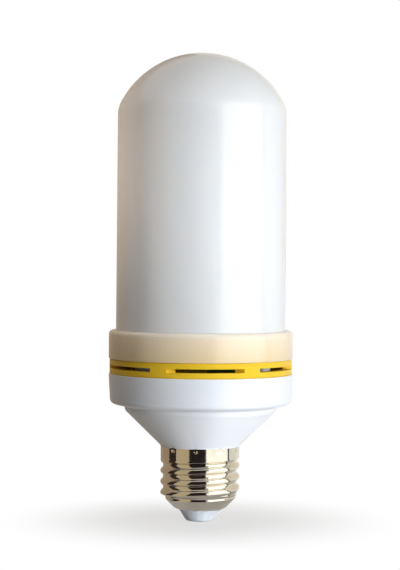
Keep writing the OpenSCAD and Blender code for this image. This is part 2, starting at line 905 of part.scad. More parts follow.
// Wires
module live_wire() {
    color("#b23028")
        wire([
            [0, 0, 5.9], [0, 0, 7.4], [0, 0, 8.3], [-0.1, 0.6, 8.9],
            [live_at[0] + 1.4, 3, live_at[1] - 0.8], [live_at[0], 2.2, live_at[1]],
            [live_at[0], wire_end_y, live_at[1]]
        ], wire_r);
}

module neutral_wire() {
    end_y = root_r - shell_t - 2 * seat_gap;
    color("#2b4f9c")
        wire([
            [0, end_y, neck_z + 1], [0, end_y - 1, neck_z + 1], [0, 8, neck_z + 1], [2, 5, neck_z + 2],
            [neutral_at[0] - 0.6, 3.2, neutral_at[1] - 1], [neutral_at[0], 2, neutral_at[1]],
            [neutral_at[0], wire_end_y, neutral_at[1]]
        ], wire_r);
}

module board_to_board(at, x, col) {
    rise = plate_z - board_top_z;
    color(col)
        wire([
            [at[0], wire_end_y, at[1]], [at[0], 2.2, at[1] + 0.2],
            [(x + at[0]) / 2, 2.4, at[1] + rise + 0.5], [x, 2.6, drum_z + 1], [x, 4, drum_z + 5],
            [x, 5.6, drum_z + 7.6], [x, control_y - control_t / 2 - 0.1, drum_z + 8]
        ], wire_r);
}

module positive_wire() {
    board_to_board(positive_at, -2.2, "#b23028");
}

module negative_wire() {
    board_to_board(negative_at, 2.2, "#26272b");
}

module signal_wires() {
    start_y = control_y + control_t / 2 + 2 * seat_gap;
    end_r = tube_r - 0.35;
    color("#e9e4d6")
        for (x = [-2.6, 0, 2.6])
            wire([
                [x, start_y, window_z + 3], [x, start_y + 0.8, window_z + 3],
                [x, control_y + 4, window_z + 3.6], [x, tube_in_r - 1.5, window_z + 3.3],
                [x, sqrt(end_r * end_r - x * x), window_z + 2.6]
            ], wire_r - 0.15);
}

screw_shell();
insulator();
centre_contact();
housing();
vent_ring();
collar_ring();
diffuser();
core_plate();
plate_screws();
core_tube();
flame_board();
flame_leds();
core_cap();
driver_board();
input_capacitor();
output_capacitor();
film_capacitor();
fuse_resistor();
bridge_rectifier();
driver_chip();
transformer_core();
transformer_bobbin();
transformer_winding();
control_board();
control_chip();
live_wire();
neutral_wire();
positive_wire();
negative_wire();
signal_wires();
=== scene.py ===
import math
import bmesh
import bpy
from mathutils import Matrix, Vector


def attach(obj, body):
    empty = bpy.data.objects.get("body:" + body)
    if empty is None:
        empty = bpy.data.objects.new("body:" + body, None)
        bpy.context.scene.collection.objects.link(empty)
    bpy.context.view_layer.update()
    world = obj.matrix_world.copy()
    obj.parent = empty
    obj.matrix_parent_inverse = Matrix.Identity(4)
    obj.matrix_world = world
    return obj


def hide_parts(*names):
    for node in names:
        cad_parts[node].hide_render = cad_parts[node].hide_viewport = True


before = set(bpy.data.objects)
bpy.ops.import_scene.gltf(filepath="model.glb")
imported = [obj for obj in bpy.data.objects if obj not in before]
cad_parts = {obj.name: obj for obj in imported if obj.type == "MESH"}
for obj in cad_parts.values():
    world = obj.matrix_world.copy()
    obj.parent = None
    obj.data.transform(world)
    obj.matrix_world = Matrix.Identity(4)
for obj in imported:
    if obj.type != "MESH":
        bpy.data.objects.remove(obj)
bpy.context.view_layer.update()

mm = 0.001
print("frame loaded:", len(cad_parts), "nodes")


# Small tools

# sRGB hex to the linear values that sockets take
def toLinear(hexColour):
    parts = [int(hexColour[i:i + 2], 16) / 255 for i in (1, 3, 5)]
    return [c / 12.92 if c <= 0.04045 else ((c + 0.055) / 1.055) ** 2.4 for c in parts] + [1.0]


# a node with its settings; an input is a plain value or the socket that feeds it
def addNode(tree, kind, inputs=None, **settings):
    node = tree.nodes.new(kind)
    for key, value in settings.items():
        setattr(node, key, value)
    for key, value in (inputs or {}).items():
        if isinstance(value, bpy.types.NodeSocket):
            tree.links.new(value, node.inputs[key])
        else:
            node.inputs[key].default_value = value
    return node


# stops are (place, hex) pairs, at least two
def setRamp(node, stops):
    ramp = node.color_ramp
    while len(ramp.elements) < len(stops):
        ramp.elements.new(0.5)
    for element, (place, colour) in zip(ramp.elements, stops):
        element.position = place
        element.color = toLinear(colour)


# a material with one principled shader; underscores in the socket names stand for spaces
def newMaterial(name, **sockets):
    material = bpy.data.materials.new(name)
    material.use_nodes = True
    tree = material.node_tree
    tree.nodes.clear()
    shader = addNode(tree, "ShaderNodeBsdfPrincipled")
    for key, value in sockets.items():
        shader.inputs[key.replace("_", " ")].default_value = value
    out = addNode(tree, "ShaderNodeOutputMaterial", {"Surface": shader.outputs["BSDF"]})
    out.is_active_output = True
    return material, tree, shader


def linkedObject(name, data):
    thing = bpy.data.objects.new(name, data)
    bpy.context.scene.collection.objects.link(thing)
    return thing


def meshPiece(name, vertices, faces, material):
    mesh = bpy.data.meshes.new(name)
    mesh.from_pydata([tuple(v) for v in vertices], [], faces)
    mesh.materials.append(material)
    piece = linkedObject(name, mesh)
    shadeSmooth(piece)
    return piece


# smooth faces, with edges sharper than angle kept crisp
def shadeSmooth(piece, angle=30.0):
    work = bmesh.new()
    work.from_mesh(piece.data)
    bmesh.ops.remove_doubles(work, verts=work.verts, dist=1e-7)
    for face in work.faces:
        face.smooth = True
    for edge in work.edges:
        edge.smooth = len(edge.link_faces) == 2 and edge.calc_face_angle(0.0) < math.radians(angle)
    work.to_mesh(piece.data)
    work.free()


# closed (r, z) outline in millimetres, run anticlockwise, turned round the Z axis
def lathe(name, outline, material, steps):
    count = len(outline)
    turns = [2 * math.pi * s / steps for s in range(steps)]
    vertices = [(r * mm * math.cos(turn), r * mm * math.sin(turn), z * mm) for turn in turns for r, z in outline]

    def corner(s, i):
        return (s % steps) * count + i % count

    faces = [(corner(s, i), corner(s + 1, i), corner(s + 1, i + 1), corner(s, i + 1))
             for s in range(steps) for i in range(count)]
    return meshPiece(name, vertices, faces, material)


# a merged, smooth-shaded copy of a CAD node's mesh, in its place
def smoothCopy(node, material):
    piece = linkedObject(node + "_finish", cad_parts[node].data.copy())
    piece.data.materials.clear()
    piece.data.materials.append(material)
    shadeSmooth(piece)
    return piece


# puts a piece in a CAD node's place: it hangs under the root, and the node is hidden
def standFor(piece, node, slot):
    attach(piece, "root")
    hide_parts(node)


# Camera, floor and light

camera = {
    "distance": 630 * mm,       # from the bulb's axis
    "azimuth": -3.25,           # the front slot shows a little to the right
    "pitch": 1.05,              # looking slightly down
    "aimHeight": 78.3 * mm,     # height of the picture's middle on the axis
    "aimShift": -0.4 * mm,      # the axis is a hair right of the middle
    "roll": 0.38,               # the bulb leans a little to the right
    "lens": 120.0,
    "sensor": 36.0,             # the picture's long side on the sensor
    "clip": (0.01, 20.0),
}


def makeCamera():
    data = bpy.data.cameras.new("camera")
    data.sensor_width = camera["sensor"]
    data.lens = camera["lens"]
    data.clip_start, data.clip_end = camera["clip"]
    eye = linkedObject("camera", data)
    a, e = math.radians(camera["azimuth"]), math.radians(camera["pitch"])
    back = Vector((math.sin(a) * math.cos(e), -math.cos(a) * math.cos(e), math.sin(e)))
    right = Vector((math.cos(a), math.sin(a), 0))
    aim = Vector((0, 0, camera["aimHeight"])) + right * camera["aimShift"]
    eye.rotation_mode = "QUATERNION"
    look = (-back).to_track_quat("-Z", "Y")
    eye.rotation_quaternion = look @ Matrix.Rotation(math.radians(camera["roll"]), 3, "Z").to_quaternion()
    eye.location = aim + back * camera["distance"]
    bpy.context.scene.camera = eye


paper = {
    "side": 6.0,                    # from the middle to an edge
    "colour": "#a5a3a0",
    # where plain white starts to rise, where it is full, and its share at the start
    "seen": (0.012, 0.07, 0.66),    # for the camera
    "shown": (0.02, 0.06, 0.3),     # for what the metal mirrors
}


# how much of the floor is plain white for one kind of ray: least at the foot, all of it further out
def floorShare(tree, distance, ray, near, far, least):
    fade = addNode(tree, "ShaderNodeMapRange", {
        "Value": distance, "From Min": near, "From Max": far, "To Min": least, "To Max": 1.0,
    }, interpolation_type="SMOOTHSTEP")
    share = addNode(tree, "ShaderNodeMath", {0: fade.outputs["Result"], 1: ray}, operation="MULTIPLY")
    return share.outputs["Value"]


# matt white paper: it keeps the bulb's shadow near its foot and fades to plain white further out
def makeFloor():
    material, tree, shader = newMaterial("white paper sweep", Roughness=0.9, Base_Color=toLinear(paper["colour"]))
    place = addNode(tree, "ShaderNodeTexCoord")
    far = addNode(tree, "ShaderNodeVectorMath", {0: place.outputs["Object"]}, operation="LENGTH").outputs["Value"]
    path = addNode(tree, "ShaderNodeLightPath")
    seen = floorShare(tree, far, path.outputs["Is Camera Ray"], *paper["seen"])
    shown = floorShare(tree, far, path.outputs["Is Glossy Ray"], *paper["shown"])
    amount = addNode(tree, "ShaderNodeMath", {0: seen, 1: shown}, operation="MAXIMUM")
    white = addNode(tree, "ShaderNodeEmission", {"Color": (1, 1, 1, 1), "Strength": 1.0})
    mix = addNode(tree, "ShaderNodeMixShader", {
        "Fac": amount.outputs["Value"], 1: shader.outputs["BSDF"], 2: white.outputs["Emission"],
    })
    out = next(n for n in tree.nodes if n.type == "OUTPUT_MATERIAL")
    tree.links.new(mix.outputs["Shader"], out.inputs["Surface"])
    material.cycles.emission_sampling = "NONE"
    side = paper["side"]
    corners = [(-side, -side, 0), (side, -side, 0), (side, side, 0), (-side, side, 0)]
    meshPiece("floor", corners, [(0, 1, 2, 3)], material)


# white to the camera, pale to gloss, and a dim warm fill for everything else
def makeWorld():
    world = bpy.data.worlds.new("studio")
    bpy.context.scene.world = world
    world.use_nodes = True
    tree = world.node_tree
    tree.nodes.clear()
    path = addNode(tree, "ShaderNodeLightPath")
    dim = addNode(tree, "ShaderNodeBackground", {"Color": toLinear("#b9ada2"), "Strength": 0.078})
    pale = addNode(tree, "ShaderNodeBackground", {"Color": toLinear("#efe8dc"), "Strength": 1.08})
    white = addNode(tree, "ShaderNodeBackground", {"Color": (1, 1, 1, 1), "Strength": 1.0})
    shine = addNode(tree, "ShaderNodeMixShader", {
        "Fac": path.outputs["Is Glossy Ray"], 1: dim.outputs["Background"], 2: pale.outputs["Background"],
    })
    mix = addNode(tree, "ShaderNodeMixShader", {
        "Fac": path.outputs["Is Camera Ray"], 1: shine.outputs["Shader"], 2: white.outputs["Background"],
    })
    addNode(tree, "ShaderNodeOutputWorld", {"Surface": mix.outputs["Shader"]})


# a place round the bulb: bearing 0 is at the camera, positive to its right
def polarPlace(bearing, distance, height):
    a = math.radians(camera["azimuth"] + bearing)
    return (distance * math.sin(a), -distance * math.cos(a), height)


# soft lamps that only light: places, sizes and targets in metres, power in watts, spread in degrees
lamps = {
    "key right": {"place": polarPlace(44, 0.62, 0.2), "size": (0.6, 0.4), "power": 3.7, "colour": "#f7fbff"},
    "side right": {"place": polarPlace(95, 0.8, 0.25), "size": (0.3, 0.5), "power": 0.4},
    "low right": {"place": polarPlace(42, 0.35, 0.035), "size": (0.3, 0.05), "power": 0.1, "target": (0, 0, 0.03)},
    # a small pool on the insulator
    "foot right": {"place": polarPlace(36, 0.35, 0.035), "size": (0.08, 0.02), "power": 0.006,
                   "colour": "#f2f8ff", "target": (0, 0, 0.003), "spread": 16},
    # lifts the middle of the diffuser
    "front pool": {"place": polarPlace(18, 0.35, 0.1), "size": (0.06, 0.03), "power": 0.0095,
                   "colour": "#f7fbff", "target": (0, 0, 0.1), "spread": 30},
    # stands in for light that the paper throws up
    "paper bounce": {"place": polarPlace(35, 0.05, 0.001), "size": (0.06, 0.05), "power": 0.008,
                     "target": polarPlace(35, 0.05, 0.1)},
    "upper left": {"place": polarPlace(-75, 0.14, 0.25), "size": (0.12, 0.12), "power": 0.037,
                   "colour": "#ffe9d6", "target": (0, 0, 0.1)},
    # warm edge down the diffuser's left side
    "left strip": {"place": polarPlace(-90, 0.14, 0.115), "size": (0.05, 0.03), "power": 0.0068,
                   "colour": "#ffe8d2", "target": (0, 0, 0.118), "spread": 56},
    "back left": {"place": polarPlace(-135, 0.45, 0.42), "size": (0.3, 0.3), "power": 0.85,
                  "colour": "#fff0e0", "target": (0, 0, 0.13)},
    "top": {"place": (-0.05, -0.1, 0.75), "size": (0.5, 0.5), "power": 0.45, "colour": "#f7fbff"},
    "back fill": {"place": polarPlace(172, 0.8, 0.3), "size": (0.5, 0.5), "power": 1.8, "colour": "#fff6ee"},
}

# cards that only gloss shows, as bands down the bulb: a card lies on the floor and bends up at its far end,
# or hangs from its foot up
cards = {
    "black card in front": {"bearings": (-31, 17), "colour": "#2a2427", "strength": 1.0},
    "white card right": {"bearings": (18, 84), "colour": "#ffffff", "strength": 2.6,
                         "height": 0.45, "floorStrength": 1.55},
    "grey card upper right": {"bearings": (16, 26), "colour": "#8a8683", "strength": 1.0, "reach": 0.48, "foot": 0.05},
    "thin black card right": {"bearings": (86, 91), "colour": "#2a2427", "strength": 1.0},
    "warm card left": {"bearings": (-70, -31), "colour": "#e0d0ae", "strength": 0.8},
    "thin black card left": {"bearings": (-99, -71), "colour": "#3a302c", "strength": 1.0},
    "dim card left": {"bearings": (-178, -99), "colour": "#d9c4ab", "strength": 0.6},
}

cardShape = {
    "near": 0.02, "lift": 0.0005,   # the near edge, and the gap to the floor
    "blend": (0.001, 0.02),         # over these heights floorStrength gives way to strength
    "steps": 12,
}


def makeLamp(name, place, size, power, colour="#ffffff", target=(0, 0, 0.085), spread=180):
    data = bpy.data.lights.new(name, "AREA")
    data.spread = math.radians(spread)
    data.shape = "RECTANGLE"
    data.size, data.size_y = size
    data.energy = power
    data.color = toLinear(colour)[:3]
    lamp = linkedObject(name, data)
    lamp.visible_camera = lamp.visible_glossy = False
    lamp.location = place
    lamp.rotation_mode = "QUATERNION"
    lamp.rotation_quaternion = (Vector(target) - Vector(place)).to_track_quat("-Z", "Y")


def makeCard(name, bearings, colour, strength, reach=0.5, height=0.5, foot=None, floorStrength=None):
    lift, steps = cardShape["lift"], cardShape["steps"]
    spans = [bearings[0] + (bearings[1] - bearings[0]) * k / steps for k in range(steps + 1)]
    rows = [(reach, foot), (reach, height)] if foot else [(cardShape["near"], lift), (reach, lift), (reach, height)]
    vertices = [polarPlace(b, distance, z) for distance, z in rows for b in spans]

    def corner(r, k):
        return r * (steps + 1) + k

    faces = [(corner(r, k), corner(r, k + 1), corner(r + 1, k + 1), corner(r + 1, k))
             for r in range(len(rows) - 1) for k in range(steps)]
    material = bpy.data.materials.new(name)
    material.use_nodes = True
    tree = material.node_tree
    tree.nodes.clear()
    glow = addNode(tree, "ShaderNodeEmission", {"Color": toLinear(colour), "Strength": strength})
    if floorStrength:
        place = addNode(tree, "ShaderNodeTexCoord")
        split = addNode(tree, "ShaderNodeSeparateXYZ", {"Vector": place.outputs["Object"]})
        low, high = cardShape["blend"]
        rise = addNode(tree, "ShaderNodeMapRange", {
            "Value": split.outputs["Z"], "From Min": low, "From Max": high,
            "To Min": floorStrength, "To Max": strength,
        })
        tree.links.new(rise.outputs["Result"], glow.inputs["Strength"])
    addNode(tree, "ShaderNodeOutputMaterial", {"Surface": glow.outputs["Emission"]})
    material.cycles.emission_sampling = "NONE"
    card = meshPiece(name, vertices, faces, material)
    card.visible_camera = card.visible_diffuse = card.visible_shadow = card.visible_transmission = False


makeCamera()
makeFloor()
makeWorld()
for name, lamp in lamps.items():
    makeLamp(name, **lamp)
for name, card in cards.items():
    makeCard(name, **card)
print("camera, floor and light made")


# Finishes. Grains and patches are in millimetres

# most of a noise's values lie between these
noiseSpan = {"From Min": 0.3, "From Max": 0.7}


# noise of one size
def addNoise(tree, vector, grain, detail):
    noise = addNode(tree, "ShaderNodeTexNoise", {"Vector": vector, "Scale": 1 / (grain * mm), "Detail": detail})
    return noise.outputs["Fac"]


# a value from a noise, between low and high
def spreadOut(tree, noise, low, high):
    return addNode(tree, "ShaderNodeMapRange", {
        "Value": noise, **noiseSpan, "To Min": low, "To Max": high,
    }).outputs["Result"]


# a bump of a depth in millimetres
def addBump(tree, shader, noise, depth):
    bump = addNode(tree, "ShaderNodeBump", {"Strength": 1.0, "Distance": depth * mm, "Height": noise})
    tree.links.new(bump.outputs["Normal"], shader.inputs["Normal"])


# a value from 0 to 1 as a base colour between the stops
def colourBy(tree, shader, value, stops):
    ramp = addNode(tree, "ShaderNodeValToRGB", {"Fac": value})
    setRamp(ramp, stops)
    tree.links.new(ramp.outputs["Color"], shader.inputs["Base Color"])


# moulding grain: noise drives the roughness and, with a depth, a faint bump.
# Real grain is too fine for the picture, so it is drawn coarser, as slow changes of gloss
def addGrain(tree, shader, grain, roughLow, roughHigh, detail=3.0, depth=0.0):
    place = addNode(tree, "ShaderNodeTexCoord").outputs["Object"]
    noise = addNoise(tree, place, grain, detail)
    tree.links.new(spreadOut(tree, noise, roughLow, roughHigh), shader.inputs["Roughness"])
    if depth:
        addBump(tree, shader, noise, depth)
    return place


# slow colour variation between the stops, in patches
def mottle(tree, shader, place, patch, stops, stretch=(1, 1, 1)):
    fit = addNode(tree, "ShaderNodeMapping", {"Vector": place, "Scale": stretch})
    colourBy(tree, shader, addNoise(tree, fit.outputs["Vector"], patch, detail=2.0), stops)


# opal polycarbonate, blow moulded: milky and deep, with a smooth outside that takes soft reflections
def opalPolycarbonate():
    material, tree, shader = newMaterial(
        "opal polycarbonate, blow moulded", IOR=1.58,
        Subsurface_Weight=0.55, Subsurface_Scale=6 * mm, Subsurface_Radius=(1.0, 0.85, 0.72))
    place = addGrain(tree, shader, grain=4.0, roughLow=0.1, roughHigh=0.14, detail=1.0)
    mottle(tree, shader, place, patch=38.0, stops=[(0.3, "#f5f3f1"), (0.7, "#f8f7f5")], stretch=(1, 1, 0.3))
    return material


# cream polycarbonate, moulded and part-clear: warm, and paler towards its top edge
def creamPolycarbonate():
    foot, top = 54 * mm, 63.4 * mm
    material, tree, shader = newMaterial(
        "cream polycarbonate, moulded", IOR=1.58,
        Subsurface_Weight=0.5, Subsurface_Scale=3 * mm, Subsurface_Radius=(1.0, 0.7, 0.42))
    place = addGrain(tree, shader, grain=4.0, roughLow=0.12, roughHigh=0.17, detail=1.0)
    height = addNode(tree, "ShaderNodeSeparateXYZ", {"Vector": place}).outputs["Z"]
    rise = addNode(tree, "ShaderNodeMapRange", {"Value": height, "From Min": foot, "From Max": top})
    colourBy(tree, shader, rise.outputs["Result"], [(0.0, "#ebd2a8"), (0.75, "#f0dec4"), (1.0, "#f3e8db")])
    return material


# yellow ABS, moulded: strong warm yellow with a soft gloss
def yellowAbs():
    material, tree, shader = newMaterial(
        "yellow ABS, moulded", IOR=1.54, Specular_IOR_Level=0.3,
        Subsurface_Weight=0.2, Subsurface_Scale=3 * mm, Subsurface_Radius=(1.0, 0.8, 0.2))
    place = addGrain(tree, shader, grain=3.3, roughLow=0.36, roughHigh=0.42, detail=1.0)
    mottle(tree, shader, place, patch=11.0, stops=[(0.3, "#ecc22a"), (0.7, "#efc62d")])
    return material


# cool white ABS, moulded: clean bluish white with an even semi-gloss
def coolWhiteAbs():
    material, tree, shader = newMaterial("cool white ABS, moulded", IOR=1.54)
    place = addGrain(tree, shader, grain=3.8, roughLow=0.29, roughHigh=0.33, detail=1.0)
    mottle(tree, shader, place, patch=17.0, stops=[(0.3, "#e9edf4"), (0.7, "#ebeff5")])
    return material


# urea insulator, compression moulded: dense bluish white with a dull gloss
def blueWhiteUrea():
    material, tree, shader = newMaterial("urea insulator, moulded", IOR=1.55)
    place = addGrain(tree, shader, grain=3.1, roughLow=0.3, roughHigh=0.38, detail=1.0)
    mottle(tree, shader, place, patch=7.0, stops=[(0.3, "#dfe7f0"), (0.7, "#e9eef4")])
    return material


plating = {
    "cloud": 5.3,       # patches in shine and tint
    "line": 6.2,        # length of a roller line
    "squeeze": 45,      # a line is this much thinner than long, still coarser than a real one
    "depth": 0.002,
}


# nickel-plated sheet, rolled: warm bright metal with fine lines drawn round it by the rollers
def platedSheet():
    material, tree, shader = newMaterial("nickel-plated sheet, rolled", Metallic=1.0)
    place = addNode(tree, "ShaderNodeTexCoord").outputs["Object"]
    lines = addNode(tree, "ShaderNodeMapping", {"Vector": place, "Scale": (1, 1, plating["squeeze"])})
    drawn = addNoise(tree, lines.outputs["Vector"], plating["line"], detail=3.0)
    addBump(tree, shader, drawn, plating["depth"])
    cloud = addNoise(tree, place, plating["cloud"], detail=3.0)
    tree.links.new(spreadOut(tree, cloud, low=0.06, high=0.11), shader.inputs["Roughness"])
    colourBy(tree, shader, cloud, [(0.3, "#cfc6b4"), (0.7, "#d9d2c3")])
    return material


# shared by the pieces inside: depth of the grain, swing of the roughness, width of a patch in grains
innerGrain = {"depth": 0.01, "swing": 0.06, "patch": 8}


# finish of a piece inside the bulb: two close colours in patches, over a grain
def innerFinish(name, low, high, grain, roughness, metallic=0.0):
    material, tree, shader = newMaterial(name, Metallic=metallic)
    place = addGrain(tree, shader, grain, roughness - innerGrain["swing"], roughness + innerGrain["swing"],
                     depth=innerGrain["depth"])
    mottle(tree, shader, place, innerGrain["patch"] * grain, [(0.35, low), (0.65, high)])
    return material


# Shapes that show. Sizes are in millimetres and degrees

diffuser = {
    "radius": 28.15, "topRadius": 27.9, "wall": 1.3, "foot": 56.0, "top": 155.0,
    "collarTop": 63.4,      # the side narrows from here up
    "tuck": 1,              # and starts this far below
    "dome": 18.5,           # height of the dome's arc over topRadius
    "blend": 8.0,           # radius between side and dome
    "flangeRadius": 28.9, "flange": 1.2,
    "around": 256, "sideSteps": 12, "blendSteps": 10, "domeSteps": 44,
}


def makeDiffuser(material):
    size = diffuser
    arc = (size["topRadius"] ** 2 + size["dome"] ** 2) / (2 * size["dome"])
    centreZ = size["top"] - arc
    blendX = size["topRadius"] - size["blend"]
    blendZ = centreZ + math.sqrt((arc - size["blend"]) ** 2 - blendX ** 2)
    meet = math.atan2(blendZ - centreZ, blendX)     # where blend and dome touch

    # from the collar up to the axis, moved in by inset
    def side(inset):
        points = [(size["radius"] - inset, size["collarTop"] - size["tuck"])]
        steps = size["sideSteps"]
        for k in range(steps):
            points.append((size["radius"] - inset - (size["radius"] - size["topRadius"]) * k / steps,
                           size["collarTop"] + (blendZ - size["collarTop"]) * k / steps))
        for k in range(size["blendSteps"]):
            turn = meet * k / size["blendSteps"]
            points.append((blendX + (size["blend"] - inset) * math.cos(turn),
                           blendZ + (size["blend"] - inset) * math.sin(turn)))
        for k in range(size["domeSteps"]):
            turn = meet + (math.pi / 2 - meet) * k / size["domeSteps"]
            points.append(((arc - inset) * math.cos(turn), centreZ + (arc - inset) * math.sin(turn)))
        return points + [(0.0, size["top"] - inset)]

    outer = [(size["flangeRadius"], size["foot"]), (size["flangeRadius"], size["foot"] + size["flange"]),
             (size["radius"], size["foot"] + size["flange"])] + side(0)
    inner = [(size["radius"] - size["wall"], size["foot"])] + side(size["wall"])
    piece = lathe("diffuser_opal", outer + inner[::-1], material, size["around"])
    closePoles(piece)
    standFor(piece, "diffuser", "diffuser")


# merges the points on the axis, where the turned outline closes
def closePoles(piece):
    work = bmesh.new()
    work.from_mesh(piece.data)
    bmesh.ops.remove_doubles(work, verts=work.verts, dist=1e-6)
    bmesh.ops.dissolve_degenerate(work, edges=work.edges, dist=1e-7)
    work.to_mesh(piece.data)
    work.free()


# the evaluated object as a plain mesh object; the first one is removed
def plainMesh(thing, name):
    graph = bpy.context.evaluated_depsgraph_get()
    mesh = bpy.data.meshes.new_from_object(thing.evaluated_get(graph))
    bpy.data.objects.remove(thing)
    return linkedObject(name, mesh)


# a Geometry Nodes tree with a named input for each size, and the outputs that carry the sizes in it
def newTree(name, named):
    tree = bpy.data.node_groups.new(name, "GeometryNodeTree")
    tree.interface.new_socket("Geometry", in_out="INPUT", socket_type="NodeSocketGeometry")
    for size in named:
        tree.interface.new_socket(size, in_out="INPUT", socket_type="NodeSocketFloat")
    tree.interface.new_socket("Geometry", in_out="OUTPUT", socket_type="NodeSocketGeometry")
    return tree, addNode(tree, "NodeGroupInput").outputs


# a function that adds one sum to the tree and gives its result
def sumsIn(tree):
    def calc(operation, a, b=0.0, c=0.0):
        return addNode(tree, "ShaderNodeMath", {0: a, 1: b, 2: c}, operation=operation).outputs["Value"]
    return calc


# a flat grid, and each point's place on it across and up, from 0 to 1
def addGrid(tree, columns, rows):
    grid = addNode(tree, "GeometryNodeMeshGrid", {
        "Size X": 1.0, "Size Y": 1.0, "Vertices X": columns, "Vertices Y": rows,
    })
    place = addNode(tree, "GeometryNodeInputPosition")
    split = addNode(tree, "ShaderNodeSeparateXYZ", {"Vector": place.outputs["Position"]})
    calc = sumsIn(tree)
    return grid.outputs["Mesh"], calc("ADD", split.outputs["X"], 0.5), calc("ADD", split.outputs["Y"], 0.5)


# ends the tree, runs it on an empty object and gives the result as a plain mesh object
def runTree(tree, geometry, named, material, name):
    real = addNode(tree, "GeometryNodeRealizeInstances", {"Geometry": geometry})
    finished = addNode(tree, "GeometryNodeSetMaterial", {"Geometry": real.outputs["Geometry"], "Material": material})
    addNode(tree, "NodeGroupOutput", {"Geometry": finished.outputs["Geometry"]})
    holder = linkedObject(name + "_tree", bpy.data.meshes.new(name + "_tree"))
    modifier = holder.modifiers.new("tree", "NODES")
    modifier.node_group = tree
    for item in tree.interface.items_tree:
        if item.in_out == "INPUT" and item.name in named:
            modifier[item.identifier] = named[item.name]
    return plainMesh(holder, name)


shell = {
    "crestRadius": 13.15, "depth": 0.9, "pitch": 3.629, "phase": -0.035,
    "threadFoot": 7.4, "footRun": 0.9,              # the last groove runs out on the cone over this height
    "threadTop": 21.65, "topRun": (0.2, 1.8),       # the first one comes in between these distances below the top
    "skirtRadius": 13.1, "skirt": 21.2, "top": 25.0, "sheet": 0.3,
    "mouthRadius": 7.8, "mouth": 4.2, "coneRadius": 8.85, "cone": 4.75, "taper": 0.9744,
    "dimples": 10, "dimpleHeight": 24.05, "dimpleTurn": -10.0, "dimpleRadius": 1.0, "dimpleDepth": 0.3,
    "around": 217, "rows": 161, "crease": 50,
}


